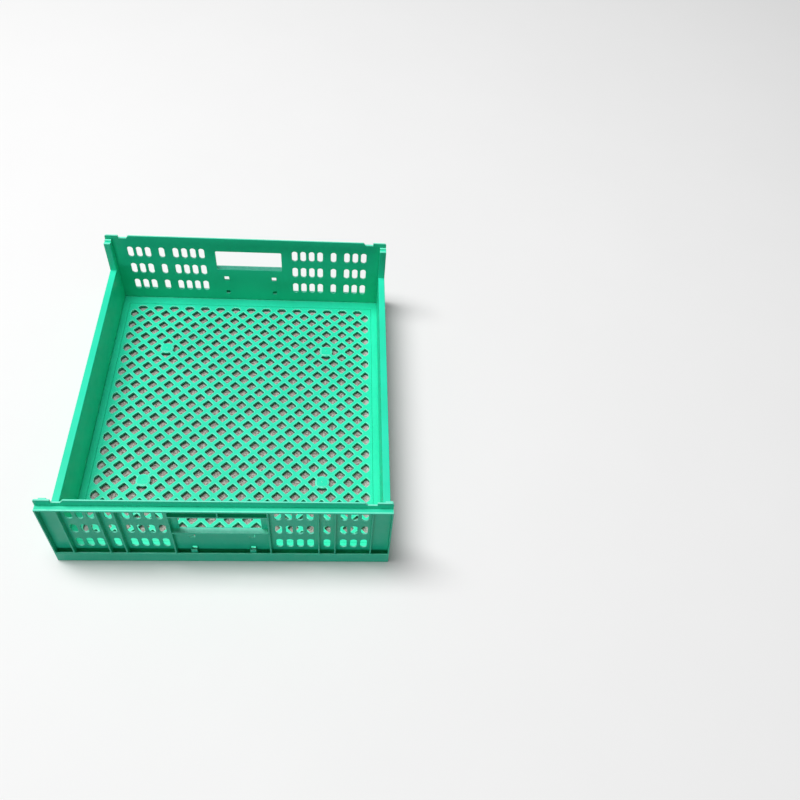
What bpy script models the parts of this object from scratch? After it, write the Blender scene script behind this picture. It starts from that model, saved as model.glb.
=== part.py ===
"""Collapsible storage crate: a slatted tray that comes apart and folds flat.

The frame stands on the ground plane with its origin at the centre of its footprint.
X runs along the two tall end walls, Y from front to back, Z up. All lengths are in metres.

The mesh floor sits in the base frame. The two low side walls swing inwards on short pins in
ears along the frame. The tall front and back walls hook over tongues on the frame, lift
straight out, and are held down by a sliding catch at each end.
"""

import math

import bmesh
import bpy

# Driving dimensions
WIDTH = 0.530
DEPTH = 0.600
HEIGHT = 0.1675
END_WALL_DEPTH = 0.0125
SIDE_WALL_WIDTH = 0.012
SKIN = 0.0027
GAP = 0.0003

# Base frame and mesh floor
FLOOR_TOP = 0.008
MESH_BOTTOM = 0.0027
MESH_PITCH_X = 0.03057
MESH_PITCH_Y = 0.0302
MESH_COLUMNS = 15
MESH_ROWS = 17
HOLE_HALF = 0.0101
MESH_LIMIT_X = 0.2352
MESH_LIMIT_Y = 0.2622
MESH_EDGE = 0.006
LEDGE = 0.004
SILL_TOP = 0.0117
SILL_WIDTH = 0.0042
PAD_STEPS_FROM_CENTRE = 5
PAD_RADIUS = 0.0125
GROOVE_WIDTH = 0.009
GROOVE_TOP = 0.005
GROOVE_RIB_PLACE = 0.0355
GROOVE_END = 0.186

# Side walls and their hinges
RAIL_TOP = 0.0925
RAIL_THICKNESS = 0.004
POST_WIDTH = 0.014
POST_TOP_BACK = 0.159
POST_TOP_FRONT = 0.147
BARREL_RADIUS = 0.0035
PIN_RADIUS = 0.0015
PIN_LENGTH = 0.026
EAR_LENGTH = 0.012
EAR_SPACING = 0.118
EARS_PER_SIDE = 5
SIDE_RIB_SPACING = 0.059
ROUND_STEPS = 12

# End walls
LIP = 0.013
NOTCH_DEPTH = 0.006
RIB = 0.0025
RIB_PLACES = (0.075, 0.1515, 0.177, 0.234)
CHANNEL_RIBS = (0.078, 0.136, 0.189)
FOOT_HEIGHT = 0.0245
FOOT_LEDGE = 0.0125
VENT_WIDTH = 0.0105
VENT_HEIGHT = 0.025
VENT_ROWS = (0.044, 0.086, 0.128)
VENT_COLUMNS = (0.089, 0.1054, 0.1218, 0.1382, 0.1643, 0.1903, 0.2066, 0.2229)
GRIP_HALF_WIDTH = 0.063
GRIP_BOTTOM = 0.0885
GRIP_TOP = 0.135
CLIP_PLACE = 0.0465
NOTCH_FROM = 0.220
NOTCH_TO = 0.240

# Tongues of the frame and the sliding catches
TONGUE_PLACE = 0.104
TONGUE_WIDTH = 0.016
TONGUE_HEIGHT = 0.006
HOOK_TOP = 0.0095
CATCH_PLACE = 0.2255
CATCH_LENGTH = 0.026
CATCH_TRAVEL = 0.014
CATCH_DEPTH = 0.013
LUG_OFFSET = 0.0055
LUG_WIDTH = 0.005

HALF_X = WIDTH / 2
HALF_Y = DEPTH / 2
INNER_X = HALF_X - SIDE_WALL_WIDTH
INNER_Y = HALF_Y - END_WALL_DEPTH
HINGE_X = INNER_X + BARREL_RADIUS
HINGE_Z = FLOOR_TOP + 0.0004 + BARREL_RADIUS
FLANGE_TOP = HEIGHT - LIP
CATCH_LEVELS = (0.0018, 0.0058)


def clear_scene():
    for item in list(bpy.data.objects):
        bpy.data.objects.remove(item, do_unlink=True)


def plastic(name, colour, roughness):
    material = bpy.data.materials.new(name)
    material.use_nodes = True
    shader = material.node_tree.nodes["Principled BSDF"]
    shader.inputs["Base Color"].default_value = (*colour, 1.0)
    shader.inputs["Roughness"].default_value = roughness
    shader.inputs["Metallic"].default_value = 0.0
    return material


def steel(name):
    material = plastic(name, (0.62, 0.63, 0.64), 0.32)
    material.node_tree.nodes["Principled BSDF"].inputs["Metallic"].default_value = 1.0
    return material


class Solids:
    """Closed blocks and prisms gathered in one mesh."""

    def __init__(self):
        self.bm = bmesh.new()

    def block(self, x, y, z):
        """A box between two places along each axis, given in either order."""
        x, y, z = sorted(x), sorted(y), sorted(z)
        outline = [(x[0], y[0]), (x[1], y[0]), (x[1], y[1]), (x[0], y[1])]
        self.prism(outline, z, "xy")

    def prism(self, outline, span, plane):
        """An outline in the named plane, drawn out along the third axis."""
        order = {"xy": (0, 1, 2), "xz": (0, 2, 1), "yz": (2, 0, 1)}[plane]
        rings = []
        for place in sorted(span):
            corners = [(u, v, place) for u, v in outline]
            rings.append([self.bm.verts.new([c[i] for i in order]) for c in corners])
        count = len(outline)
        faces = [self.bm.faces.new(ring) for ring in rings]
        for i in range(count):
            j = (i + 1) % count
            sides = (rings[0][i], rings[0][j], rings[1][j], rings[1][i])
            faces.append(self.bm.faces.new(sides))
        bmesh.ops.recalc_face_normals(self.bm, faces=faces)

    def build(self, name, material=None):
        mesh = bpy.data.meshes.new(name)
        self.bm.to_mesh(mesh)
        self.bm.free()
        if material:
            mesh.materials.append(material)
        item = bpy.data.objects.new(name, mesh)
        bpy.context.collection.objects.link(item)
        return item


def settle(item, tools):
    """Keep the evaluated shape of an object and remove the tools that made it."""
    depsgraph = bpy.context.evaluated_depsgraph_get()
    mesh = bpy.data.meshes.new_from_object(item.evaluated_get(depsgraph))
    item.modifiers.clear()
    item.data = mesh
    for tool in tools:
        bpy.data.objects.remove(tool, do_unlink=True)


def combine(item, tool, operation):
    step = item.modifiers.new(operation.title(), "BOOLEAN")
    step.operation = operation
    step.solver = "EXACT"
    step.use_self = True
    step.object = tool
    tool.display_type = "WIRE"
    tool.hide_render = True


def finish(name, material, first, added=None, cut=None):
    """One closed body: the first block, with others joined to it and others cut from it."""
    item = first.build(name, material)
    tools = []
    for solids, operation in ((added, "UNION"), (cut, "DIFFERENCE")):
        if solids:
            tool = solids.build(f"{name}_{operation.lower()}")
            combine(item, tool, operation)
            tools.append(tool)
    settle(item, tools)
    return item


def put_origin(item, place):
    """Move an object's origin to a place without moving the shape."""
    for vertex in item.data.vertices:
        for axis in range(3):
            vertex.co[axis] -= place[axis]
    item.location = place


def circle(u, v, radius, steps=ROUND_STEPS):
    """A round outline with its flats square to the axes."""
    turn = 2 * math.pi / steps
    return [
        (u + radius * math.cos((i + 0.5) * turn), v + radius * math.sin((i + 0.5) * turn))
        for i in range(steps)
    ]


def slot(u, v, width, height, steps=3):
    """An upright opening with round ends."""
    radius = width / 2
    reach = height / 2 - radius
    points = []
    for centre, start in ((v + reach, 0), (v - reach, math.pi)):
        for i in range(steps + 1):
            angle = start + math.pi * i / steps
            points.append((u + radius * math.cos(angle), centre + radius * math.sin(angle)))
    return points


def clip(outline, axis, limit):
    """Cut a convex outline off at plus or minus a limit along one axis."""
    for sign in (1, -1):
        kept = []
        for here, there in zip(outline, outline[1:] + outline[:1]):
            inside = sign * here[axis] <= limit
            if inside:
                kept.append(here)
            if inside != (sign * there[axis] <= limit):
                share = (sign * limit - here[axis]) / (there[axis] - here[axis])
                kept.append(tuple(a + share * (b - a) for a, b in zip(here, there)))
        outline = kept
    return outline


def mesh_holes():
    """Outlines of the two interleaved grids of diamond holes, cut off at the border."""
    holes = []
    for shift in (0, 1):
        columns = MESH_COLUMNS + shift
        rows = MESH_ROWS + 1 - shift
        for i in range(columns):
            for j in range(rows):
                x = (i - (columns - 1) / 2) * MESH_PITCH_X
                y = (j - (rows - 1) / 2) * MESH_PITCH_Y
                diamond = [
                    (x + HOLE_HALF, y),
                    (x, y + HOLE_HALF),
                    (x - HOLE_HALF, y),
                    (x, y - HOLE_HALF),
                ]
                holes.append(clip(clip(diamond, 0, MESH_LIMIT_X), 1, MESH_LIMIT_Y))
    return holes


def make_mesh_floor(material):
    """A flat panel of diamond holes, with four round pads where the plastic was fed in."""
    x = MESH_LIMIT_X + MESH_EDGE
    y = MESH_LIMIT_Y + MESH_EDGE
    panel = Solids()
    panel.block((-x, x), (-y, y), (MESH_BOTTOM + GAP, FLOOR_TOP))
    holes = Solids()
    for outline in mesh_holes():
        holes.prism(outline, (0, 2 * FLOOR_TOP), "xy")
    item = finish("mesh_floor", material, panel, cut=holes)
    pads = Solids()
    for i in (-PAD_STEPS_FROM_CENTRE, PAD_STEPS_FROM_CENTRE):
        for j in (-PAD_STEPS_FROM_CENTRE, PAD_STEPS_FROM_CENTRE):
            disc = circle(i * MESH_PITCH_X, j * MESH_PITCH_Y, PAD_RADIUS)
            pads.prism(disc, (MESH_BOTTOM + GAP, FLOOR_TOP), "xy")
    tool = pads.build("mesh_floor_pads")
    combine(item, tool, "UNION")
    settle(item, [tool])
    return item


def ear_places():
    first = -(EARS_PER_SIDE - 1) / 2
    return [(first + i) * EAR_SPACING for i in range(EARS_PER_SIDE)]


def groove_spans():
    """Where the groove under the front and back edges runs, between its ribs and tongues."""
    rib = (GROOVE_RIB_PLACE - 0.001, GROOVE_RIB_PLACE + 0.001)
    root = (TONGUE_PLACE - TONGUE_WIDTH / 2, TONGUE_PLACE + TONGUE_WIDTH / 2)
    return [(0.001, rib[0]), (rib[1], root[0]), (root[1], GROOVE_END)]


def make_base_frame(material):
    """The solid border, with hinge ears, tongues for the end walls and catch pockets."""
    edge_y = INNER_Y - GAP
    frame = Solids()
    frame.block((-HALF_X, HALF_X), (-edge_y, edge_y), (0, FLOOR_TOP))
    added = Solids()
    cut = Solids()
    opening_x = MESH_LIMIT_X + MESH_EDGE + GAP
    opening_y = MESH_LIMIT_Y + MESH_EDGE + GAP
    cut.block((-opening_x, opening_x), (-opening_y, opening_y), (MESH_BOTTOM, 2 * FLOOR_TOP))
    ledge_x = opening_x - LEDGE
    ledge_y = opening_y - LEDGE
    cut.block((-ledge_x, ledge_x), (-ledge_y, ledge_y), (-FLOOR_TOP, FLOOR_TOP / 2))
    for side in (-1, 1):
        sill = (side * (HALF_X - SILL_WIDTH), side * HALF_X)
        added.block(sill, (-edge_y, edge_y), (FLOOR_TOP / 2, SILL_TOP))
        for y in ear_places():
            ends = (y - EAR_LENGTH / 2, y + EAR_LENGTH / 2)
            foot = (side * (HINGE_X - 0.0025), side * (HALF_X - SILL_WIDTH / 2))
            added.prism(circle(side * HINGE_X, HINGE_Z, BARREL_RADIUS), ends, "xz")
            added.block(foot, ends, (FLOOR_TOP / 2, SILL_TOP - GAP))
            bore = (y - EAR_LENGTH, y + EAR_LENGTH)
            cut.prism(circle(side * HINGE_X, HINGE_Z, PIN_RADIUS + GAP), bore, "xz")
    for side in (-1, 1):
        skin_outer = HALF_Y - END_WALL_DEPTH + SKIN
        for x in (-TONGUE_PLACE, TONGUE_PLACE):
            across = (x - TONGUE_WIDTH / 2, x + TONGUE_WIDTH / 2)
            reach = side * (skin_outer + 0.004)
            added.block(across, (side * (edge_y - 0.004), reach), (0, TONGUE_HEIGHT - GAP))
            hook = (side * (skin_outer + GAP), reach)
            added.block(across, hook, (TONGUE_HEIGHT / 2, HOOK_TOP))
        for near, far in groove_spans():
            groove = (side * (edge_y - GROOVE_WIDTH), side * (edge_y + 0.001))
            cut.block((near, far), groove, (-0.001, GROOVE_TOP))
            cut.block((-near, -far), groove, (-0.001, GROOVE_TOP))
        for end in (-1, 1):
            near = CATCH_PLACE - CATCH_LENGTH / 2 - CATCH_TRAVEL - GAP
            far = CATCH_PLACE + CATCH_LENGTH / 2 + GAP
            inner = side * (edge_y - CATCH_DEPTH - GAP)
            levels = (CATCH_LEVELS[0] - GAP, CATCH_LEVELS[1] + GAP)
            cut.block((end * near, end * far), (inner, side * (edge_y + 0.001)), levels)
            window = (end * (near + 0.004), end * (far - 0.004))
            deep = (side * (edge_y - 0.010), side * (edge_y - 0.004))
            cut.block(window, deep, (-0.001, levels[0] + 0.001))
    return finish("base_frame", material, frame, added, cut)


def make_catch(name, side, end, material):
    """A slider in the frame's pocket: twin lugs under the wall, a thumb nub below."""
    edge_y = INNER_Y - GAP
    skin_outer = HALF_Y - END_WALL_DEPTH + SKIN
    half = CATCH_LENGTH / 2
    slider = Solids()
    deep = side * (edge_y - CATCH_DEPTH)
    span = (end * (CATCH_PLACE - half), end * (CATCH_PLACE + half))
    slider.block(span, (deep, side * (edge_y - GAP)), CATCH_LEVELS)
    added = Solids()
    for offset in (-LUG_OFFSET, LUG_OFFSET):
        x = CATCH_PLACE + offset
        across = (end * (x - LUG_WIDTH / 2), end * (x + LUG_WIDTH / 2))
        reach = (side * (edge_y - 0.005), side * (skin_outer + 0.0065))
        low = CATCH_LEVELS[0] + 0.0004
        added.block(across, reach, (low, CATCH_LEVELS[1] - GAP))
        bump = (side * (skin_outer + 0.0035), reach[1])
        added.block(across, bump, (low + 0.001, CATCH_LEVELS[1] + 0.0025))
    nub = (end * (CATCH_PLACE - 0.0045), end * (CATCH_PLACE + 0.0045))
    middle = (side * (edge_y - 0.0095), side * (edge_y - 0.0045))
    added.block(nub, middle, (0.0004, CATCH_LEVELS[0] + 0.001))
    item = finish(name, material, slider, added)
    put_origin(item, (end * CATCH_PLACE, side * INNER_Y, CATCH_LEVELS[0]))
    return item


def make_end_wall(name, side, material):
    """A tall wall: smooth web inside, ribs, shelves and a hollow foot outside."""
    inner = side * INNER_Y
    skin = side * (INNER_Y + SKIN)
    root = side * (INNER_Y + SKIN / 2)
    outer = side * HALF_Y
    rim = side * (HALF_Y - RIB)
    web = Solids()
    web.block((-HALF_X, HALF_X), (inner, skin), (0, HEIGHT))
    added = Solids()
    added.block((-HALF_X, HALF_X), (root, outer), (FLANGE_TOP - RIB, FLANGE_TOP))
    added.block((-HALF_X, HALF_X), (root, outer), (FOOT_LEDGE - RIB, FOOT_LEDGE))
    added.block((-HALF_X, HALF_X), (rim, outer), (0, FOOT_HEIGHT))
    for end in (-1, 1):
        flange = (end * (HALF_X - RIB), end * HALF_X)
        added.block(flange, (root, outer - side * RIB / 2), (0, FLANGE_TOP - RIB / 2))
        for x in RIB_PLACES:
            across = (end * (x - RIB / 2), end * (x + RIB / 2))
            levels = (FOOT_LEDGE - RIB / 2, FLANGE_TOP - RIB / 2)
            added.block(across, (root, outer - side * 0.0008), levels)
        for x in CHANNEL_RIBS:
            across = (end * (x - RIB / 2), end * (x + RIB / 2))
            added.block(across, (root, outer - side * RIB / 2), (0.001, FOOT_LEDGE - RIB / 2))
        keeper = CATCH_PLACE - LUG_OFFSET - LUG_WIDTH / 2 - GAP
        keep = (end * (CHANNEL_RIBS[2] + RIB / 4), end * keeper)
        added.block(keep, (skin + side * GAP, outer - side * RIB / 2), (0, CATCH_LEVELS[0]))
    shelf_span = (-RIB_PLACES[0], RIB_PLACES[0])
    shelf_reach = (root, outer - side * 0.0008)
    added.block(shelf_span, shelf_reach, (GRIP_TOP, GRIP_TOP + RIB))
    added.block(shelf_span, shelf_reach, (GRIP_BOTTOM - RIB, GRIP_BOTTOM))
    added.block((-RIB / 2, RIB / 2), shelf_reach, (GRIP_TOP + RIB / 2, FLANGE_TOP - RIB / 2))
    for x in (-CLIP_PLACE, CLIP_PLACE):
        for low, high in ((0.076, GRIP_BOTTOM - RIB / 2), (FOOT_LEDGE - RIB / 2, 0.033)):
            hook_tip = (outer - side * 0.005, outer - side * 0.003)
            added.block((x - 0.005, x + 0.005), hook_tip, (low, high))
    cut = Solids()
    through = (inner - side * 0.004, outer + side * 0.004)
    for end in (-1, 1):
        for x in VENT_COLUMNS:
            for z in VENT_ROWS:
                cut.prism(slot(end * x, z, VENT_WIDTH, VENT_HEIGHT), through, "xz")
        notch = [
            (end * NOTCH_TO, HEIGHT - NOTCH_DEPTH),
            (end * NOTCH_TO, HEIGHT + NOTCH_DEPTH),
            (end * (NOTCH_FROM - NOTCH_DEPTH / 2), HEIGHT + NOTCH_DEPTH),
            (end * (NOTCH_FROM + NOTCH_DEPTH), HEIGHT - NOTCH_DEPTH),
        ]
        cut.prism(notch, through, "xz")
        mouth = (end * (CHANNEL_RIBS[2] + RIB), end * (NOTCH_TO + 0.001))
        web_only = (inner - side * 0.004, skin + side * GAP / 2)
        cut.block(mouth, web_only, (-RIB, CATCH_LEVELS[1] + 2 * GAP))
        half = TONGUE_WIDTH / 2 + GAP
        tongue = (end * TONGUE_PLACE - half, end * TONGUE_PLACE + half)
        cut.block(tongue, web_only, (-RIB, TONGUE_HEIGHT))
        for z, size in ((0.0655, 0.0045), (0.0285, 0.0038)):
            x = end * CLIP_PLACE
            cut.block((x - size, x + size), web_only, (z - size, z + size))
    cut.block((-GRIP_HALF_WIDTH, GRIP_HALF_WIDTH), through, (GRIP_BOTTOM, GRIP_TOP))
    return finish(name, material, web, added, cut)


def make_side_wall(name, side, material):
    """A low wall with a post at each end, swinging on the barrel along its lower edge."""
    reach_y = INNER_Y - 2 * GAP
    outer = side * HALF_X
    inner = side * INNER_X
    skin = side * (INNER_X + SKIN)
    root = side * (INNER_X + SKIN / 2)
    low = SILL_TOP + GAP
    panel = Solids()
    panel.block((inner, skin), (-reach_y, reach_y), (HINGE_Z, RAIL_TOP))
    added = Solids()
    barrel = circle(side * HINGE_X, HINGE_Z, BARREL_RADIUS)
    added.prism(barrel, (-reach_y, reach_y), "xz")
    added.block((root, outer), (-reach_y, reach_y), (low, low + RIB))
    added.block((root, outer), (-reach_y, reach_y), (RAIL_TOP - RAIL_THICKNESS, RAIL_TOP))
    rib_count = int(reach_y / SIDE_RIB_SPACING)
    for i in range(-rib_count, rib_count + 1):
        y = i * SIDE_RIB_SPACING
        levels = (low + RIB / 2, RAIL_TOP - RAIL_THICKNESS / 2)
        added.block((root, outer - side * 0.0008), (y - RIB / 2, y + RIB / 2), levels)
    cut = Solids()
    for end, top in ((-1, POST_TOP_FRONT), (1, POST_TOP_BACK)):
        post = (end * (reach_y - POST_WIDTH), end * reach_y)
        added.block((inner, outer), post, (low + RIB / 2, top))
        hollow = (end * (reach_y - POST_WIDTH + RIB), end * (reach_y - RIB))
        cut.block((skin, outer + side * RIB), hollow, (low + 2 * RIB, top - 3 * RIB))
        groove = (end * (reach_y - 0.0095), end * (reach_y - 0.0045))
        cut.block((inner - side * RIB, outer + side * RIB), groove, (top - 0.002, top + RIB))
    clear = EAR_LENGTH / 2 + GAP
    for y in ear_places():
        window = (inner - side * RIB, outer + side * RIB)
        cut.block(window, (y - clear, y + clear), (0, HINGE_Z + BARREL_RADIUS + GAP))
        bore = (y - PIN_LENGTH / 2 - GAP, y + PIN_LENGTH / 2 + GAP)
        cut.prism(circle(side * HINGE_X, HINGE_Z, PIN_RADIUS + GAP), bore, "xz")
    item = finish(name, material, panel, added, cut)
    put_origin(item, (side * HINGE_X, 0, HINGE_Z))
    return item


def make_pins(material):
    """Short steel pins, one through each ear of the frame."""
    pin = Solids()
    pin.prism(circle(0, 0, PIN_RADIUS), (-PIN_LENGTH / 2, PIN_LENGTH / 2), "xz")
    shared = None
    for side, word in ((-1, "left"), (1, "right")):
        for i, y in enumerate(ear_places()):
            name = f"hinge_pin_{word}_{i + 1}"
            if shared is None:
                item = pin.build(name, material)
                shared = item.data
                shared.shade_smooth()
                shared.set_sharp_from_angle(angle=math.radians(40))
            else:
                item = bpy.data.objects.new(name, shared)
                bpy.context.collection.objects.link(item)
            item.location = (side * HINGE_X, y, HINGE_Z)


def main():
    clear_scene()
    green = (0.03, 0.60, 0.34)
    make_base_frame(plastic("frame_plastic", green, 0.42))
    make_mesh_floor(plastic("mesh_plastic", green, 0.42))
    wall_plastic = plastic("end_wall_plastic", green, 0.42)
    make_end_wall("front_wall", -1, wall_plastic)
    make_end_wall("back_wall", 1, wall_plastic)
    side_plastic = plastic("side_wall_plastic", green, 0.42)
    make_side_wall("left_wall", -1, side_plastic)
    make_side_wall("right_wall", 1, side_plastic)
    catch_plastic = plastic("catch_plastic", green, 0.45)
    for side, row in ((-1, "front"), (1, "back")):
        for end, word in ((-1, "left"), (1, "right")):
            make_catch(f"catch_{row}_{word}", side, end, catch_plastic)
    make_pins(steel("pin_steel"))


main()
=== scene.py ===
"""The looks of the collapsible storage crate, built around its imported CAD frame.

Every CAD node is stood for by one finer piece on the same body, with moulded edges, rounded
openings, hinge knuckles, beads and gate marks. Lengths are in metres, +Z is up.
"""

import math

import bmesh
import bpy
from mathutils import Matrix, Vector


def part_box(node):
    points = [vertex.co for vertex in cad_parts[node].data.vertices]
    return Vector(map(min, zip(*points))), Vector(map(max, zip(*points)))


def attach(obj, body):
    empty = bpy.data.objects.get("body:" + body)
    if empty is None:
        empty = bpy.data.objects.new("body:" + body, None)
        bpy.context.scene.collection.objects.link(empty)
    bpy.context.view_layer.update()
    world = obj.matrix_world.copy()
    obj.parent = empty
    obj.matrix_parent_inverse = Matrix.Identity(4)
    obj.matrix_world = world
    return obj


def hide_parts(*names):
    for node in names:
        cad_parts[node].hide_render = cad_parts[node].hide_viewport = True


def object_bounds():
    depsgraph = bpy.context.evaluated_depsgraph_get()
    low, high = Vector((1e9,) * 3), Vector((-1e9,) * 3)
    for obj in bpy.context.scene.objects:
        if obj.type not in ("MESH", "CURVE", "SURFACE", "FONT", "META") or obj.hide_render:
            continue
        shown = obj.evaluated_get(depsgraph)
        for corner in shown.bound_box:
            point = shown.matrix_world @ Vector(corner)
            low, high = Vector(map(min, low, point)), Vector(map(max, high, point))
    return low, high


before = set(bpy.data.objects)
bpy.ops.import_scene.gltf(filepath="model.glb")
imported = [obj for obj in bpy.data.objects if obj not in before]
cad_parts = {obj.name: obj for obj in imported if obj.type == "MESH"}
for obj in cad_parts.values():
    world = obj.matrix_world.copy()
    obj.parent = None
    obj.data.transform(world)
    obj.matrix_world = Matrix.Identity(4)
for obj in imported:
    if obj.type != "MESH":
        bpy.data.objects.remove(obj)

cad_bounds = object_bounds()

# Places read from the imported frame
LOW, HIGH = cad_bounds
HALF_X = HIGH.x
HALF_Y = HIGH.y
HEIGHT = HIGH.z
WEB = 0.0027
GAP = 0.0003
INNER_Y = abs(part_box("back_wall")[0].y)
INNER_X = abs(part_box("right_wall")[0].x)
FLOOR_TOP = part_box("mesh_floor")[1].z
MESH_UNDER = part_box("mesh_floor")[0].z
MESH_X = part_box("mesh_floor")[1].x
MESH_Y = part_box("mesh_floor")[1].y
EDGE_Y = INNER_Y - GAP
POST_TOPS = {-1: 0.147, 1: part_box("left_wall")[1].z}

# End walls
RIB = 0.0025
FLANGE_TOP = HEIGHT - 0.013
FLANGE_DROP = 0.0006
LIP_CORNER = 0.004
NOTCH_FLOOR = HEIGHT - 0.006
NOTCH_SLOPE = (0.2215, 0.226)
NOTCH_END = 0.240
FOOT_TOP = 0.0245
LEDGE_TOP = 0.0125
RIB_PLACES = (0.075, 0.1515, 0.177, 0.234)
CHANNEL_RIBS = (0.078, 0.136, 0.189)
VENT_COLUMNS = (0.089, 0.1054, 0.1218, 0.1382, 0.1643, 0.1903, 0.2066, 0.2229)
VENT_ROWS = (0.044, 0.086, 0.128)
VENT_WIDTH = 0.0105
VENT_HEIGHT = 0.025
GRIP_HALF = 0.063
GRIP_LOW = 0.0885
GRIP_HIGH = 0.135
CLIP_PLACE = 0.0465
CLIP_HOLES = ((0.0655, 0.0045), (0.0285, 0.0038))
CLIP_HOOKS = ((0.076, GRIP_LOW - 0.001), (LEDGE_TOP - 0.001, 0.033))
CLIP_HOOK_HALF = 0.005
TONGUE_PLACE = 0.104
TONGUE_WIDTH = 0.016
TONGUE_TOP = 0.006
HOOK_TOP = 0.0095

# Catches
CATCH_PLACE = 0.2255
CATCH_HALF = 0.013
CATCH_TRAVEL = 0.014
CATCH_DEPTH = 0.013
CATCH_LOW = 0.0018
CATCH_HIGH = 0.0058
CATCH_MOUTH_END = 0.241
LUG_OFFSET = 0.0055
LUG_HALF = 0.0025
LUG_REACH = 0.0065
NUB_RIDGE_SPACING = 0.0032

# Side walls
RAIL_TOP = 0.0925
RAIL_THICK = 0.004
POST_WIDTH = 0.014
POST_GROOVE = (0.0045, 0.0095)
SIDE_RIB_PLACES = [i * 0.059 for i in range(-4, 5)]
BARREL = 0.0035
HINGE_X = INNER_X + BARREL
HINGE_Z = FLOOR_TOP + 0.0004 + BARREL
SILL_TOP = 0.0117
SILL_WIDTH = 0.0042
EAR_HALF = 0.006
EAR_PLACES = [i * 0.118 for i in (-2, -1, 0, 1, 2)]
PIN_RADIUS = 0.0015
BORE_RADIUS = PIN_RADIUS + 0.0001
REACH_Y = INNER_Y - 2 * GAP

# Floor lattice and the frame around it
COLUMNS = 15
ROWS = 18
PITCH_X = 0.03057
PITCH_Y = 0.0302
HOLE_HALF = 0.0101
LIMIT_X = MESH_X - 0.006
LIMIT_Y = MESH_Y - 0.006
PAD_X = 5 * PITCH_X
PAD_Y = 5 * PITCH_Y
PAD_RADIUS = 0.0125
PAD_HALF = 0.0104
MESH_LEDGE = 0.004
GROOVE_RIB = (0.0345, 0.0365)
GROOVE_END = 0.186
GROOVE_DEPTH = 0.009
GROOVE_TOP = 0.005
BEAD_HALF_LENGTH = 0.2405
EJECTOR_PLACES = [y + 0.026 for y in (-0.2, -0.1, 0, 0.1, 0.2)]

PLANES = {
    "xy": Matrix(((1, 0, 0, 0), (0, 1, 0, 0), (0, 0, 1, 0), (0, 0, 0, 1))),
    "xz": Matrix(((1, 0, 0, 0), (0, 0, 1, 0), (0, 1, 0, 0), (0, 0, 0, 1))),
    "yz": Matrix(((0, 0, 1, 0), (1, 0, 0, 0), (0, 1, 0, 0), (0, 0, 0, 1))),
}


# ---------------------------------------------------------------- outlines


def rectangle(u, v):
    (a, b), (c, d) = sorted(u), sorted(v)
    return [(a, c), (b, c), (b, d), (a, d)]


def circle(u, v, radius, steps=32):
    turn = 2 * math.pi / steps
    return [
        (u + radius * math.cos(i * turn), v + radius * math.sin(i * turn)) for i in range(steps)
    ]


def stadium(u, v, width, height, steps=8):
    """An upright opening with round ends."""
    radius = width / 2
    reach = height / 2 - radius
    points = []
    for centre, start in ((v + reach, 0), (v - reach, math.pi)):
        for i in range(steps + 1):
            a = start + math.pi * i / steps
            points.append((u + radius * math.cos(a), centre + radius * math.sin(a)))
    return points


def fillet(outline, radii, steps=3):
    """Round each corner of an outline. radii is one radius, or one for each corner."""
    count = len(outline)
    if not hasattr(radii, "__len__"):
        radii = [radii] * count
    points = []
    for i, radius in enumerate(radii):
        here = Vector(outline[i])
        before = Vector(outline[i - 1]) - here
        after = Vector(outline[(i + 1) % count]) - here
        if radius <= 0:
            points.append(tuple(here))
            continue
        turn = before.angle(after)
        reach = radius / math.tan(turn / 2)
        reach = min(reach, 0.49 * before.length, 0.49 * after.length)
        radius = reach * math.tan(turn / 2)
        a = here + before.normalized() * reach
        b = here + after.normalized() * reach
        centre = here + (before.normalized() + after.normalized()).normalized() * (
            radius / math.sin(turn / 2)
        )
        for k in range(steps + 1):
            share = k / steps
            spoke = (a - centre).slerp(b - centre, share)
            points.append(tuple(centre + spoke.normalized() * radius))
    return points


def clip(outline, axis, limit):
    """Cut a convex outline off at plus or minus a limit along one axis."""
    for sign in (1, -1):
        kept = []
        for here, there in zip(outline, outline[1:] + outline[:1]):
            inside = sign * here[axis] <= limit
            if inside:
                kept.append(here)
            if inside != (sign * there[axis] <= limit):
                share = (sign * limit - here[axis]) / (there[axis] - here[axis])
                kept.append(tuple(a + share * (b - a) for a, b in zip(here, there)))
        outline = kept
    return outline


# ---------------------------------------------------------------- solids


def new_object(name, mesh):
    item = bpy.data.objects.new(name, mesh)
    bpy.context.scene.collection.objects.link(item)
    return item


def evaluated_mesh(item):
    depsgraph = bpy.context.evaluated_depsgraph_get()
    return bpy.data.meshes.new_from_object(item.evaluated_get(depsgraph))


def tidy_mesh(bm, distance=1e-6):
    bmesh.ops.remove_doubles(bm, verts=bm.verts, dist=distance)
    bmesh.ops.recalc_face_normals(bm, faces=bm.faces)


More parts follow.
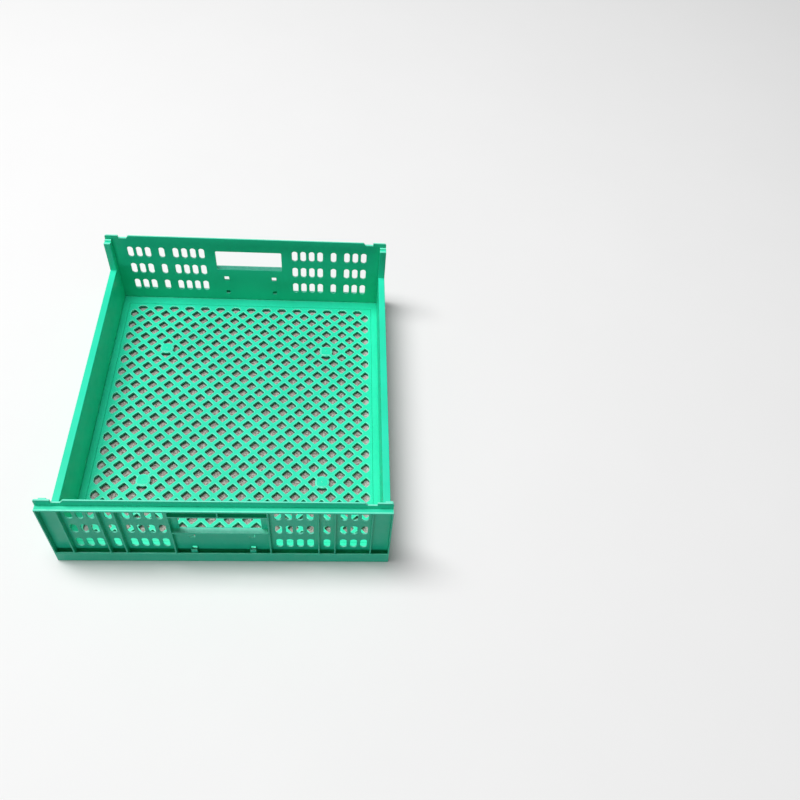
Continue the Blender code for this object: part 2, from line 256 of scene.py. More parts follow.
class Solid:
    """Closed shapes with moulded edges, gathered in one mesh."""

    def __init__(self):
        self.bm = bmesh.new()

    def block(self, x, y, z, radius=0.0005, segments=2):
        """A box between two places along each axis, with every edge rounded."""
        x, y, z = sorted(x), sorted(y), sorted(z)
        radius = min(radius, *(0.45 * (p[1] - p[0]) for p in (x, y, z)))
        corners = [
            self.bm.verts.new((a, b, c)) for a in x for b in y for c in z
        ]
        rings = ((0, 1, 3, 2), (4, 6, 7, 5), (0, 4, 5, 1), (2, 3, 7, 6), (0, 2, 6, 4), (1, 5, 7, 3))
        faces = [self.bm.faces.new([corners[i] for i in ring]) for ring in rings]
        bmesh.ops.recalc_face_normals(self.bm, faces=faces)
        if radius > 0:
            edges = {e for f in faces for e in f.edges}
            bmesh.ops.bevel(
                self.bm,
                geom=list(edges),
                offset=radius,
                segments=segments,
                profile=0.5,
                affect="EDGES",
            )

    def plate(self, outlines, span, plane, radius=0.0006, segments=2):
        """A flat plate: the first outline, with the others as openings, all rims rounded."""
        span = sorted(span)
        thick = span[1] - span[0]
        radius = min(radius, 0.45 * thick)
        curve = bpy.data.curves.new("plate", "CURVE")
        curve.dimensions = "2D"
        curve.fill_mode = "BOTH"
        curve.extrude = thick / 2 - radius
        curve.bevel_depth = radius
        curve.bevel_resolution = segments - 1
        curve.offset = -radius
        for outline in outlines:
            spline = curve.splines.new("POLY")
            spline.points.add(len(outline) - 1)
            for point, (u, v) in zip(spline.points, outline):
                point.co = (u, v, 0, 1)
            spline.use_cyclic_u = True
        item = new_object("plate", curve)
        mesh = evaluated_mesh(item)
        bpy.data.objects.remove(item)
        bpy.data.curves.remove(curve)
        mesh.transform(PLANES[plane] @ Matrix.Translation((0, 0, sum(span) / 2)))
        part = bmesh.new()
        part.from_mesh(mesh)
        tidy_mesh(part, 1e-7)
        part.to_mesh(mesh)
        part.free()
        self.bm.from_mesh(mesh)
        bpy.data.meshes.remove(mesh)

    def rod(self, u, v, radius, span, plane, steps=32, edge=0.0004):
        self.plate([circle(u, v, radius, steps)], span, plane, edge)

    def mesh(self, name):
        made = bpy.data.meshes.new(name)
        self.bm.to_mesh(made)
        self.bm.free()
        return made


def combined(name, first, added=None, cut=None):
    """One closed body: the first shapes, with others joined to them and others cut away."""
    item = new_object(name, first.mesh(name))
    tools = []
    for solid, operation in ((added, "UNION"), (cut, "DIFFERENCE")):
        if solid:
            tool = new_object(f"{name}_{operation.lower()}", solid.mesh(operation))
            tools.append(tool)
            step = item.modifiers.new(operation.title(), "BOOLEAN")
            step.operation = operation
            step.solver = "EXACT"
            step.use_self = True
            step.object = tool
    mesh = evaluated_mesh(item)
    item.modifiers.clear()
    item.data = mesh
    mesh.name = name
    for tool in tools:
        bpy.data.objects.remove(tool)
    bm = bmesh.new()
    bm.from_mesh(mesh)
    bmesh.ops.dissolve_degenerate(bm, edges=bm.edges, dist=1e-6)
    bm.to_mesh(mesh)
    bm.free()
    return item


def mark_painted_highlight_edges(mesh, levels):
    """A face attribute that is 1 on rounded rims and the named narrow tops, where the material paints a
    pale highlight.
    """
    attribute = mesh.attributes.new("painted_highlight_rim", "FLOAT", "FACE")
    values = []
    for polygon in mesh.polygons:
        n = polygon.normal
        largest = max(abs(n.x), abs(n.y), abs(n.z))
        slanted = largest < 0.985 and polygon.area < 4e-5
        upright = abs(n.z) < 0.02
        top = n.z > 0.95 and any(abs(polygon.center.z - z) < 0.0003 for z in levels)
        values.append(1.0 if top or (slanted and not upright) else 0.0)
    attribute.data.foreach_set("value", values)


def dress(item, body, slot, material, *nodes, painted_highlight_tops=()):
    """Shade a finished piece, mark its rims and given tops for the painted highlight, put it on its body
    and let it stand for its CAD nodes.
    """
    mesh = item.data
    mark_painted_highlight_edges(mesh, painted_highlight_tops)
    mesh.materials.clear()
    mesh.materials.append(material)
    mesh.shade_smooth()
    mesh.set_sharp_from_angle(angle=math.radians(38))
    weighted = item.modifiers.new("Normals", "WEIGHTED_NORMAL")
    weighted.keep_sharp = True
    weighted.weight = 50
    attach(item, body)
    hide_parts(*nodes)
    return item


# ---------------------------------------------------------------- floor and frame


def lattice_holes():
    """Rounded diamond holes on two interleaved grids, cut short at the border."""
    holes = []
    for shift in (0, 1):
        columns = COLUMNS + shift
        rows = ROWS - shift
        for i in range(columns):
            for j in range(rows):
                x = (i - (columns - 1) / 2) * PITCH_X
                y = (j - (rows - 1) / 2) * PITCH_Y
                diamond = [
                    (x + HOLE_HALF, y),
                    (x, y + HOLE_HALF),
                    (x - HOLE_HALF, y),
                    (x, y - HOLE_HALF),
                ]
                shape = clip(clip(diamond, 0, LIMIT_X), 1, LIMIT_Y)
                radii = []
                for u, v in shape:
                    if abs(abs(u) - LIMIT_X) < 1e-6 or abs(abs(v) - LIMIT_Y) < 1e-6:
                        radii.append(0.0035)
                    elif abs(v - y) < 1e-6:
                        radii.append(0.0022)
                    else:
                        radii.append(0.0013)
                holes.append(around_pad(fillet(shape, radii)))
    return holes


def around_pad(outline):
    """Push the part of a hole that would cut into a gate pad back to the pad's edge."""
    px = math.copysign(PAD_X, outline[0][0])
    py = math.copysign(PAD_Y, outline[0][1])
    if min(math.hypot(u - px, v - py) for u, v in outline) > PAD_RADIUS:
        return outline
    fine = []
    for here, there in zip(outline, outline[1:] + outline[:1]):
        count = max(1, int(math.hypot(there[0] - here[0], there[1] - here[1]) / 0.0012))
        for k in range(count):
            u = here[0] + (there[0] - here[0]) * k / count
            v = here[1] + (there[1] - here[1]) * k / count
            reach = math.hypot(u - px, v - py)
            if reach < PAD_RADIUS:
                u = px + (u - px) * PAD_RADIUS / reach
                v = py + (v - py) * PAD_RADIUS / reach
            if not fine or math.hypot(u - fine[-1][0], v - fine[-1][1]) > 0.0005:
                fine.append((u, v))
    return fine


def make_floor(material):
    """The lattice panel with its four raised gate pads."""
    grow = 0.0002
    border = rectangle((-MESH_X - grow, MESH_X + grow), (-MESH_Y - grow, MESH_Y + grow))
    panel = Solid()
    panel.plate([border, *lattice_holes()], (MESH_UNDER, FLOOR_TOP), "xy", 0.0012, 3)
    pads = Solid()
    for x in (-PAD_X, PAD_X):
        for y in (-PAD_Y, PAD_Y):
            square = rectangle((x - PAD_HALF, x + PAD_HALF), (y - PAD_HALF, y + PAD_HALF))
            low = MESH_UNDER + 0.001
            pads.plate([fillet(square, 0.0055, 6)], (low, FLOOR_TOP + 0.001), "xy", 0.0011, 3)
            pads.rod(x, y, 0.0017, (low, FLOOR_TOP + 0.0016), "xy", 20)
            pads.rod(x, y, 0.0024, (MESH_UNDER - 0.0006, FLOOR_TOP - 0.001), "xy", 24)
    item = combined("floor_lattice", panel, pads)
    return dress(item, "base", "mesh_plastic", material, "mesh_floor")


def groove_spans():
    """Where the groove under the front and back edges runs, between its rib and the tongue."""
    root = TONGUE_PLACE - TONGUE_WIDTH / 2
    return [(0.001, GROOVE_RIB[0]), (GROOVE_RIB[1], root), (root + TONGUE_WIDTH, GROOVE_END)]


def make_frame(material):
    """The border with its sills, hinge ears, tongues, catch pockets and ejector marks."""
    open_x = MESH_X + GAP
    open_y = MESH_Y + GAP
    border = Solid()
    outer = fillet(rectangle((-HALF_X, HALF_X), (-EDGE_Y, EDGE_Y)), 0.001)
    opening = rectangle((-open_x, open_x), (-open_y, open_y))
    border.plate([outer, opening], (0, FLOOR_TOP), "xy", 0.0006)
    added = Solid()
    wide = rectangle((-open_x - 0.003, open_x + 0.003), (-open_y - 0.003, open_y + 0.003))
    reach_x = open_x - MESH_LEDGE
    reach_y = open_y - MESH_LEDGE
    narrow = rectangle((-reach_x, reach_x), (-reach_y, reach_y))
    added.plate([wide, fillet(narrow, 0.003)], (0.0001, MESH_UNDER - GAP), "xy", 0.0005)
    for side in (-1, 1):
        sill = (side * (HALF_X - SILL_WIDTH), side * HALF_X)
        added.block(sill, (-EDGE_Y, EDGE_Y), (0.002, SILL_TOP), 0.0009)
        for y in EAR_PLACES:
            ends = (y - EAR_HALF, y + EAR_HALF)
            added.rod(side * HINGE_X, HINGE_Z, BARREL, ends, "xz", 28)
            foot = (side * (HINGE_X - 0.0026), side * (HALF_X - SILL_WIDTH / 2))
            added.block(foot, ends, (0.004, SILL_TOP - 0.0002), 0.0004)
        for x in (-TONGUE_PLACE, TONGUE_PLACE):
            across = (x - TONGUE_WIDTH / 2, x + TONGUE_WIDTH / 2)
            skin = INNER_Y + WEB
            reach = side * (skin + 0.004)
            added.block(across, (side * (EDGE_Y - 0.004), reach), (0.0001, TONGUE_TOP - GAP))
            added.block(across, (side * (skin + GAP), reach), (0.002, HOOK_TOP), 0.0008)
        bead = (side * (EDGE_Y - 0.0020), side * (EDGE_Y - 0.0001))
        along = (-BEAD_HALF_LENGTH, BEAD_HALF_LENGTH)
        added.block(along, bead, (FLOOR_TOP - 0.002, FLOOR_TOP + 0.0003), 0.0009, 3)
    cut = Solid()
    for side in (-1, 1):
        for y in EAR_PLACES:
            bore = (y - 2 * EAR_HALF, y + 2 * EAR_HALF)
            cut.rod(side * HINGE_X, HINGE_Z, BORE_RADIUS, bore, "xz", 24)
        for end in (-1, 1):
            for near, far in groove_spans():
                deep = (side * (EDGE_Y - GROOVE_DEPTH), side * (EDGE_Y + 0.002))
                cut.block((end * near, end * far), deep, (-0.002, GROOVE_TOP), 0.0006)
            near = CATCH_PLACE - CATCH_HALF - CATCH_TRAVEL - GAP
            far = CATCH_PLACE + CATCH_HALF + GAP
            deep = (side * (EDGE_Y - CATCH_DEPTH - GAP), side * (EDGE_Y + 0.002))
            pocket = (CATCH_LOW - GAP, CATCH_HIGH + GAP)
            cut.block((end * near, end * far), deep, pocket, 0)
            window = (end * (near + 0.004), end * (far - 0.004))
            deep = (side * (EDGE_Y - 0.010), side * (EDGE_Y - 0.004))
            cut.block(window, deep, (-0.001, CATCH_LOW + 0.0007), 0.0004)
        for y in EJECTOR_PLACES:
            x = side * (HALF_X - 0.0118)
            cut.rod(x, y, 0.0040, (-0.001, 0.00018), "xy", 28, 0.00005)
    item = combined("base_frame_moulding", border, added, cut)
    return dress(item, "base", "frame_plastic", material, "base_frame")


# ---------------------------------------------------------------- end walls


def end_wall_outline():
    """The web in X and Z: notches in the lip above, mouths for tongues and catches below."""
    half = [(0, 0)]
    tongue_from = TONGUE_PLACE - TONGUE_WIDTH / 2 - GAP
    tongue_to = TONGUE_PLACE + TONGUE_WIDTH / 2 + GAP
    for near, far, top in (
        (tongue_from, tongue_to, TONGUE_TOP),
        (CHANNEL_RIBS[2] + RIB, CATCH_MOUTH_END, CATCH_HIGH + 2 * GAP),
    ):
        half += [(near, 0), (near, top), (far, top), (far, 0)]
    half += [
        (HALF_X, 0),
        (HALF_X, HEIGHT),
        (NOTCH_END, HEIGHT),
        (NOTCH_END, NOTCH_FLOOR),
        (NOTCH_SLOPE[1], NOTCH_FLOOR),
        (NOTCH_SLOPE[0], HEIGHT),
        (0, HEIGHT),
    ]
    outline = half + [(-x, z) for x, z in reversed(half[1:-1])]
    radii = [LIP_CORNER if abs(x) == HALF_X and z == HEIGHT else 0 for x, z in outline]
    return fillet(outline, radii, 5)


def make_end_wall(name, side, body, material, node):
    """A tall wall: web with its openings, flange, hollow foot, ribs, shelves and clip hooks."""
    inner = side * INNER_Y
    skin = side * (INNER_Y + WEB)
    root = side * (INNER_Y + 0.0009)
    outer = side * HALF_Y
    back = outer - side * 0.0008
    web = Solid()
    openings = []
    for end in (-1, 1):
        for x in VENT_COLUMNS:
            for z in VENT_ROWS:
                openings.append(stadium(end * x, z, VENT_WIDTH, VENT_HEIGHT))
        for z, size in CLIP_HOLES:
            x = end * CLIP_PLACE
            hole = rectangle((x - size, x + size), (z - size, z + size))
            openings.append(fillet(hole, 0.0012))
    openings.append(fillet(rectangle((-GRIP_HALF, GRIP_HALF), (GRIP_LOW, GRIP_HIGH)), 0.0025))
    web.plate([end_wall_outline(), *openings], (inner, skin), "xz", 0.0007)
    added = Solid()
    flange = [
        (root, FLANGE_TOP - FLANGE_DROP),
        (outer - side * 0.0032, FLANGE_TOP - FLANGE_DROP),
        (outer - side * 0.0024, FLANGE_TOP),
        (outer, FLANGE_TOP),
        (outer, FLANGE_TOP - 0.0036),
        (outer - side * RIB, FLANGE_TOP - 0.0036),
        (outer - side * RIB, FLANGE_TOP - RIB - 0.0004),
        (root, FLANGE_TOP - RIB - 0.0004),
    ]
    flange = fillet(flange, (0, 0.0003, 0.0004, 0.0011, 0.0006, 0.0004, 0, 0))
    added.plate([flange], (-HALF_X, HALF_X), "yz", 0.0008)
    foot = [
        (root, LEDGE_TOP),
        (outer - side * RIB, LEDGE_TOP),
        (outer - side * RIB, FOOT_TOP),
        (outer, FOOT_TOP),
        (outer, 0),
        (outer - side * RIB, 0),
        (outer - side * RIB, LEDGE_TOP - RIB),
        (root, LEDGE_TOP - RIB),
    ]
    foot = fillet(foot, (0, 0.0006, 0.0009, 0.0011, 0.0008, 0.0006, 0.0004, 0))
    added.plate([foot], (-HALF_X, HALF_X), "yz", 0.0008)
    for end in (-1, 1):
        cheek = (end * (HALF_X - RIB), end * HALF_X)
        added.block(cheek, (root, outer - side * 0.0002), (0, FLANGE_TOP - 0.0008), 0.0008)
        for x in RIB_PLACES:
            across = (end * (x - RIB / 2), end * (x + RIB / 2))
            added.block(across, (root, back), (LEDGE_TOP - 0.002, FLANGE_TOP - 0.002), 0.0006)
        for x in CHANNEL_RIBS:
            across = (end * (x - RIB / 2), end * (x + RIB / 2))
            added.block(across, (root, outer - side * 0.001), (0.001, LEDGE_TOP - 0.001))
        keeper = CATCH_PLACE - LUG_OFFSET - LUG_HALF - GAP
        keep = (end * (CHANNEL_RIBS[2] + RIB / 4), end * keeper)
        added.block(keep, (skin + side * GAP, outer - side * 0.001), (0.0001, CATCH_LOW))
    span = (-RIB_PLACES[0], RIB_PLACES[0])
    added.block(span, (root, back), (GRIP_HIGH - 0.0003, GRIP_HIGH + RIB), 0.0007)
    added.block(span, (root, back), (GRIP_LOW - RIB, GRIP_LOW + 0.0003), 0.0007)
    added.block((-RIB / 2, RIB / 2), (root, back), (GRIP_HIGH + 0.001, FLANGE_TOP - 0.002))
    for x in (-CLIP_PLACE, CLIP_PLACE):
        across = (x - CLIP_HOOK_HALF, x + CLIP_HOOK_HALF)
        for levels in CLIP_HOOKS:
            tip = (outer - side * 0.005, outer - side * 0.003)
            added.block(across, tip, levels, 0.0006)
    item = combined(name, web, added)
    # Painted highlight on these tops too: lip, flange, foot rim, grip shelf and notch floor.
    tops = (HEIGHT, FLANGE_TOP, FOOT_TOP, GRIP_LOW + 0.0003, NOTCH_FLOOR)
    return dress(item, body, "end_wall_plastic", material, node, painted_highlight_tops=tops)


# ---------------------------------------------------------------- side walls


def between_ears():
    """The stretches of a side wall's lower edge between the frame's ears."""
    clear = EAR_HALF + GAP
    ends = [-REACH_Y]
    for y in EAR_PLACES:
        ends += [y - clear, y + clear]
    ends.append(REACH_Y)
    return list(zip(ends[::2], ends[1::2]))


def side_wall_outline():
    """A side wall's panel in Y and Z: cut clear of the ears below, with a post at each end."""
    window = HINGE_Z + BARREL + GAP
    outline = []
    for i, (near, far) in enumerate(between_ears()):
        if i:
            outline.append((near, window))
        outline += [(near, HINGE_Z), (far, HINGE_Z)]
        if i < len(EAR_PLACES):
            outline.append((far, window))
    post = REACH_Y - POST_WIDTH
    outline += [
        (REACH_Y, POST_TOPS[1] - 0.002),
        (post, POST_TOPS[1] - 0.002),
        (post, RAIL_TOP - 0.001),
        (-post, RAIL_TOP - 0.001),
        (-post, POST_TOPS[-1] - 0.002),
        (-REACH_Y, POST_TOPS[-1] - 0.002),
    ]
    return outline


def make_side_wall(name, side, body, material, node):
    """A low wall: panel on a row of hinge barrels, with rails, ribs and a grooved post each end."""
    inner = side * INNER_X
    skin = side * (INNER_X + WEB)
    root = side * (INNER_X + 0.0009)
    outer = side * HALF_X
    back = outer - side * 0.0008
    low = SILL_TOP + GAP
    panel = Solid()
    panel.plate([side_wall_outline()], (inner, skin), "yz", 0.0006)
    added = Solid()
    for near, far in between_ears():
        added.rod(side * HINGE_X, HINGE_Z, BARREL, (near, far), "xz", 28)
        added.block((root, outer), (near, far), (low, low + RIB), 0.0007)
    post = REACH_Y - POST_WIDTH
    rail = (RAIL_TOP - RAIL_THICK, RAIL_TOP)
    added.block((inner, outer), (-post - 0.002, post + 0.002), rail, 0.0011, 3)
    for y in SIDE_RIB_PLACES:
        added.block((root, back), (y - RIB / 2, y + RIB / 2), (low + 0.001, RAIL_TOP - 0.002))
    for end in (-1, 1):
        top = POST_TOPS[end]
        for near, far in ((0, RIB), (POST_WIDTH - RIB, POST_WIDTH)):
            span = (end * (REACH_Y - far), end * (REACH_Y - near))
            added.block((inner, outer), span, (low + 0.001, top - 0.002), 0.0007)
        whole = (end * (REACH_Y - POST_WIDTH), end * REACH_Y)
        added.block((inner, outer), whole, (top - 0.0075, top - 0.002), 0.0007)
        added.block((inner, outer), whole, (low + 0.001, low + 2 * RIB), 0.0007)
        for near, far in ((0, POST_GROOVE[0]), (POST_GROOVE[1], POST_WIDTH)):
            span = (end * (REACH_Y - far), end * (REACH_Y - near))
            added.block((inner, outer), span, (top - 0.004, top), 0.0007)
    cut = Solid()
    for y in EAR_PLACES:
        bore = (y - 0.0133, y + 0.0133)
        cut.rod(side * HINGE_X, HINGE_Z, BORE_RADIUS, bore, "xz", 24)
    item = combined(name, panel, added, cut)
    # Painted highlight on the post tops too.
    tops = tuple(POST_TOPS.values())
    return dress(item, body, "side_wall_plastic", material, node, painted_highlight_tops=tops)


# ---------------------------------------------------------------- catches and pins


def make_catch(name, side, end, body, material, node):
    """A slider with twin lugs under the wall and a ridged thumb nub below."""
    skin = INNER_Y + WEB
    deep = side * (EDGE_Y - CATCH_DEPTH)
    span = (end * (CATCH_PLACE - CATCH_HALF), end * (CATCH_PLACE + CATCH_HALF))
    slider = Solid()
    slider.block(span, (deep, side * (EDGE_Y - GAP)), (CATCH_LOW, CATCH_HIGH), 0.0005)
    added = Solid()
    for offset in (-LUG_OFFSET, LUG_OFFSET):
        x = CATCH_PLACE + offset
        across = (end * (x - LUG_HALF), end * (x + LUG_HALF))
        reach = (side * (EDGE_Y - 0.005), side * (skin + LUG_REACH))
        low = CATCH_LOW + 0.0004
        added.block(across, reach, (low, CATCH_HIGH - GAP), 0.0005)
        bump = (side * (skin + 0.0035), side * (skin + LUG_REACH))
        added.block(across, bump, (low + 0.001, CATCH_HIGH + 0.0025), 0.0009)
    for k in (-1, 0, 1):
        x = CATCH_PLACE + NUB_RIDGE_SPACING * k
        nub = (end * (x - 0.0012), end * (x + 0.0012))
        middle = (side * (EDGE_Y - 0.0095), side * (EDGE_Y - 0.0045))
        added.block(nub, middle, (0.0004, CATCH_LOW + 0.001), 0.0006)
    item = combined(name, slider, added)
    return dress(item, body, "catch_plastic", material, node)


def make_pin(name, side, material, node):
    """A wire pin, as long as its CAD node."""
    low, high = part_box(node)
    pin = Solid()
    pin.rod(side * HINGE_X, HINGE_Z, PIN_RADIUS - 0.00005, (low.y, high.y), "xz", 24, 0.0003)
    item = new_object(name, pin.mesh(name))
    return dress(item, "base", "pin_steel", material, node)


# ---------------------------------------------------------------- materials


class Nodes:
    """A short way to write a node tree."""

    def __init__(self, material):
        material.use_nodes = True
        self.tree = material.node_tree
        self.shader = self.tree.nodes["Principled BSDF"]

    def add(self, kind, inputs=None, **settings):
        node = self.tree.nodes.new(kind)
        for key, value in settings.items():
            setattr(node, key, value)
        for key, value in (inputs or {}).items():
            self.feed(node.inputs[key], value)
        return node

    def feed(self, socket, value):
        if isinstance(value, bpy.types.NodeSocket):
            self.tree.links.new(value, socket)
        else:
            socket.default_value = value

    def maths(self, operation, a, b=0.0, clamp=False):
        node = self.add("ShaderNodeMath", {0: a, 1: b}, operation=operation, use_clamp=clamp)
        return node.outputs[0]

    def remap(self, value, old, new):
        inputs = {0: value, 1: old[0], 2: old[1], 3: new[0], 4: new[1]}
        return self.add("ShaderNodeMapRange", inputs, clamp=True).outputs[0]

    def noise(self, vector, scale, detail=2.0, rough=0.5):
        inputs = {"Vector": vector, "Scale": scale, "Detail": detail, "Roughness": rough}
        return self.add("ShaderNodeTexNoise", inputs).outputs["Fac"]

    def stretched(self, vector, amounts):
        inputs = {0: vector, 1: amounts}
        return self.add("ShaderNodeVectorMath", inputs, operation="MULTIPLY").outputs[0]

    def mix(self, factor, a, b, blend="MIX"):
        node = self.add("ShaderNodeMix", data_type="RGBA", blend_type=blend)
        self.feed(node.inputs[0], factor)
        self.feed(node.inputs[6], a)
        self.feed(node.inputs[7], b)
        return node.outputs[2]


def plastic(name, colour, seed, roughness=0.36, grain=0.06):
    """Moulded polypropylene: faint flow clouds, fine grain, scuffs, and a painted highlight that makes
    marked rims and tops paler.
    """
    material = bpy.data.materials.new(name)
    n = Nodes(material)
    place = n.add("ShaderNodeTexCoord").outputs["Object"]
    moved = n.add("ShaderNodeVectorMath", {0: place, 1: (seed, seed / 3, 0)}, operation="ADD").outputs[0]
    clouds = n.noise(moved, 9.0, 3.0, 0.55)
    streaks = n.noise(n.stretched(moved, (1.0, 0.18, 0.5)), 46.0, 2.0, 0.6)
    fine = n.noise(moved, 1500.0, 2.0, 0.6)
    scuff_a = n.noise(n.stretched(moved, (900.0, 26.0, 60.0)), 1.0, 2.0, 0.7)
    scuff_b = n.noise(n.stretched(moved, (34.0, 1000.0, 60.0)), 1.0, 2.0, 0.7)
    patches = n.remap(n.noise(moved, 21.0, 2.0), (0.52, 0.68), (0.0, 1.0))
    scuff_a = n.remap(scuff_a, (0.66, 0.78), (0, 1))
    scuff_b = n.remap(scuff_b, (0.68, 0.80), (0, 1))
    scuffs = n.maths("MAXIMUM", scuff_a, scuff_b)
    scuffs = n.maths("MULTIPLY", scuffs, patches)
    # Painted highlight: faces marked on rims and given tops are mixed up to 72% toward pale green,
    # varied by noise.
    painted_highlight_rim = n.add("ShaderNodeAttribute", attribute_name="painted_highlight_rim").outputs["Fac"]
    painted_highlight = n.maths("MULTIPLY", painted_highlight_rim, n.remap(n.noise(moved, 65.0, 3.0, 0.7), (0.35, 0.6), (0.6, 1.0)))
    deep = (colour[0] * 0.8, colour[1] * 0.93, colour[2] * 0.90, 1)
    bright = (colour[0] * 1.3, min(1, colour[1] * 1.05), colour[2] * 1.07, 1)
    # This pale green serves both the scuffs (real wear) and the painted highlight.
    pale_scuff_and_highlight = (0.27, 0.97, 0.75, 1)
    shade = n.mix(n.remap(clouds, (0.3, 0.7), (0.0, 1.0)), deep, bright)
    shade = n.mix(n.remap(streaks, (0.35, 0.75), (0.0, 0.30)), shade, bright)
    shade = n.mix(n.maths("MULTIPLY", scuffs, 0.16), shade, pale_scuff_and_highlight)
    shade = n.mix(n.maths("MULTIPLY", painted_highlight, 0.72), shade, pale_scuff_and_highlight)
    n.feed(n.shader.inputs["Base Color"], shade)
    rough = n.remap(n.noise(moved, 70.0, 3.0, 0.6), (0.3, 0.7), (roughness - 0.05, roughness + 0.07))
    rough = n.maths("ADD", rough, n.maths("MULTIPLY", scuffs, 0.15), clamp=True)
    n.feed(n.shader.inputs["Roughness"], rough)
    height = n.maths("ADD", n.maths("MULTIPLY", fine, 0.35), n.maths("MULTIPLY", streaks, 0.9))
    height = n.maths("SUBTRACT", height, n.maths("MULTIPLY", scuffs, 0.6))
    bump = n.add("ShaderNodeBump", {"Strength": grain * 5, "Distance": 0.00012, "Height": height})
    n.feed(n.shader.inputs["Normal"], bump.outputs["Normal"])
    n.shader.inputs["IOR"].default_value = 1.49
    n.shader.inputs["Specular IOR Level"].default_value = 0.38
    return material


def steel(name):
    """Drawn wire: bright, with fine lines along its length."""
    material = bpy.data.materials.new(name)
    n = Nodes(material)
    place = n.add("ShaderNodeTexCoord").outputs["Object"]
    lines = n.noise(n.stretched(place, (2600.0, 30.0, 2600.0)), 1.0, 2.0, 0.6)
    stain = n.noise(place, 160.0, 3.0, 0.6)
    shade = n.mix(n.remap(stain, (0.4, 0.75), (0.0, 1.0)), (0.60, 0.61, 0.62, 1), (0.42, 0.41, 0.39, 1))
    n.feed(n.shader.inputs["Base Color"], shade)
    n.feed(n.shader.inputs["Roughness"], n.remap(lines, (0.3, 0.7), (0.24, 0.42)))
    bump = n.add("ShaderNodeBump", {"Strength": 0.2, "Distance": 0.00004, "Height": lines})
    n.feed(n.shader.inputs["Normal"], bump.outputs["Normal"])
    n.shader.inputs["Metallic"].default_value = 1.0
    return material


def paper(name):
    """A plain pale floor, with gritty grey ground under the crate that its openings show."""
    material = bpy.data.materials.new(name)
    n = Nodes(material)
    place = n.add("ShaderNodeTexCoord").outputs["Object"]
    tone = n.noise(place, 3.0, 4.0, 0.6)
    white = n.mix(tone, (0.86, 0.86, 0.86, 1), (0.89, 0.89, 0.89, 1))
    specks = n.remap(n.noise(place, 330.0, 3.0, 0.7), (0.36, 0.64), (0.0, 1.0))
    grit = n.mix(specks, (0.13, 0.11, 0.09, 1), (0.58, 0.54, 0.50, 1))
    parts = n.add("ShaderNodeSeparateXYZ", {0: place})
    across = n.remap(n.maths("ABSOLUTE", parts.outputs[0]), (0.225, 0.25), (1, 0))
    along = n.remap(n.maths("ABSOLUTE", parts.outputs[1]), (0.255, 0.28), (1, 0))
    n.feed(n.shader.inputs["Base Color"], n.mix(n.maths("MULTIPLY", across, along), white, grit))
    n.shader.inputs["Roughness"].default_value = 0.9
    n.shader.inputs["Specular IOR Level"].default_value = 0.1
    return material


# ---------------------------------------------------------------- set, light, camera


def make_floor_plane():
    mesh = bpy.data.meshes.new("studio_floor")
    size = 14.0
    mesh.from_pydata(
        [(-size, -size, 0), (size, -size, 0), (size, size, 0), (-size, size, 0)], [], [(0, 1, 2, 3)]
    )
    floor = new_object("studio_floor", mesh)
    floor.location.z = -0.0002
    mesh.materials.append(paper("studio_paper"))
    floor.visible_diffuse = False


def area_light(name, place, aim, size, power):
    """An elliptical lamp. The second size lies along the lamp's own up direction."""
    data = bpy.data.lights.new(name, "AREA")
    data.shape = "ELLIPSE"
    data.size, data.size_y = size
    data.energy = power
    lamp = new_object(name, data)
    lamp.location = place
    lamp.rotation_euler = (Vector(aim) - Vector(place)).to_track_quat("-Z", "Y").to_euler()
    lamp.visible_camera = False
    return lamp


def make_world():
    """Dim white surroundings that the camera sees as a bright white background."""
    world = bpy.data.worlds.new("studio")
    bpy.context.scene.world = world
    world.use_nodes = True
    tree = world.node_tree
    background = tree.nodes["Background"]
    ray = tree.nodes.new("ShaderNodeLightPath")
    strength = tree.nodes.new("ShaderNodeMapRange")
    strength.inputs["To Min"].default_value = 0.10
    strength.inputs["To Max"].default_value = 1.0
    tree.links.new(ray.outputs["Is Camera Ray"], strength.inputs["Value"])
    tree.links.new(strength.outputs[0], background.inputs["Strength"])
    background.inputs["Color"].default_value = (1, 1, 1, 1)


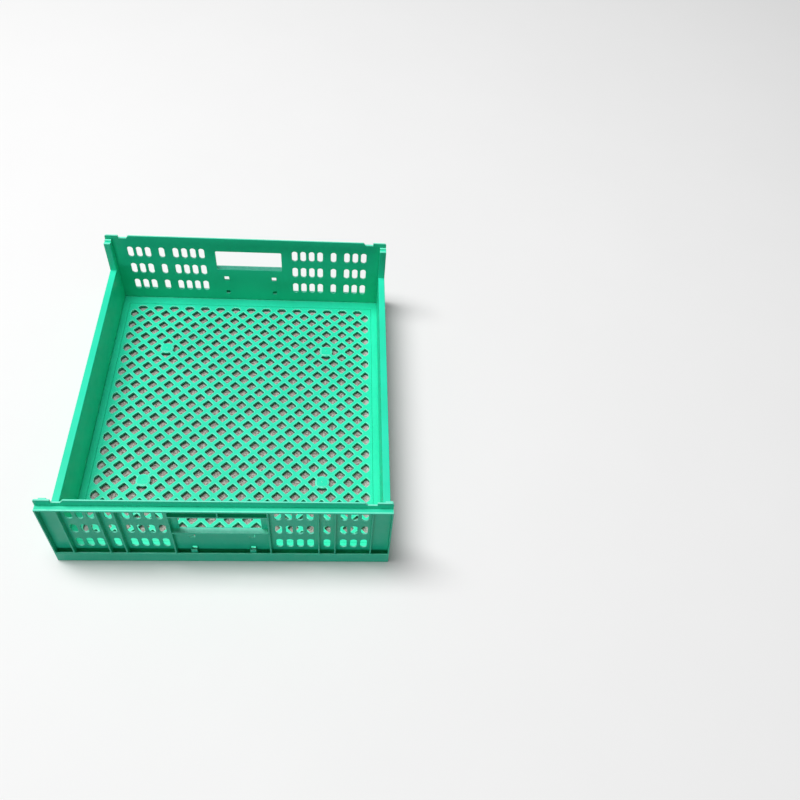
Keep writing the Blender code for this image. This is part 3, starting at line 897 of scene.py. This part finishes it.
def make_camera():
    data = bpy.data.cameras.new("camera")
    data.lens = 38.41
    data.sensor_width = 36.0
    camera = new_object("camera", data)
    camera.location = (0.1760, -0.9570, 1.2694)
    camera.rotation_euler = [math.radians(a) for a in (38.16, -3.98, -1.77)]
    bpy.context.scene.camera = camera


# ---------------------------------------------------------------- build

GREEN = (0.020, 0.79, 0.485)
# The end walls get a darker copy of GREEN: painted shade that darkens them, not a different plastic.
END_GREEN_PAINTED_SHADE = (0.019, 0.68, 0.42)
CATCH_GREEN = (0.018, 0.74, 0.42)

floor_green = plastic("moulded_floor", GREEN, 0.0)
frame_green = plastic("moulded_frame", GREEN, 1.3)
# End-wall material with the darker, painted-shade green.
end_green_painted_shade = plastic("moulded_end_wall_painted_shade", END_GREEN_PAINTED_SHADE, 2.1)
side_green = plastic("moulded_side_wall", GREEN, 3.7)
catch_green = plastic("moulded_catch", CATCH_GREEN, 5.2, 0.40)
pin_metal = steel("drawn_steel")

make_floor(floor_green)
make_frame(frame_green)
make_end_wall("front_wall_moulding", -1, "front_wall_body", end_green_painted_shade, "front_wall")
make_end_wall("back_wall_moulding", 1, "back_wall_body", end_green_painted_shade, "back_wall")
make_side_wall("left_wall_moulding", -1, "left_wall_body", side_green, "left_wall")
make_side_wall("right_wall_moulding", 1, "right_wall_body", side_green, "right_wall")
for side, row in ((-1, "front"), (1, "back")):
    for end, word in ((-1, "left"), (1, "right")):
        node = f"catch_{row}_{word}"
        make_catch(f"{node}_moulding", side, end, f"{node}_body", catch_green, node)
for side, word in ((-1, "left"), (1, "right")):
    for i in range(len(EAR_PLACES)):
        node = f"hinge_pin_{word}_{i + 1}"
        make_pin(f"{node}_wire", side, pin_metal, node)

make_floor_plane()
make_world()
area_light("key", (-1.55, 0.42, 5.8), (0, 0, 0), (2.4, 5.6), 405.0)
area_light("front_fill", (-0.6, -4.0, 0.17), (0, 0, 0.1), (3.0, 0.3), 34.0)
make_camera()

bpy.context.scene.view_settings.view_transform = "Standard"
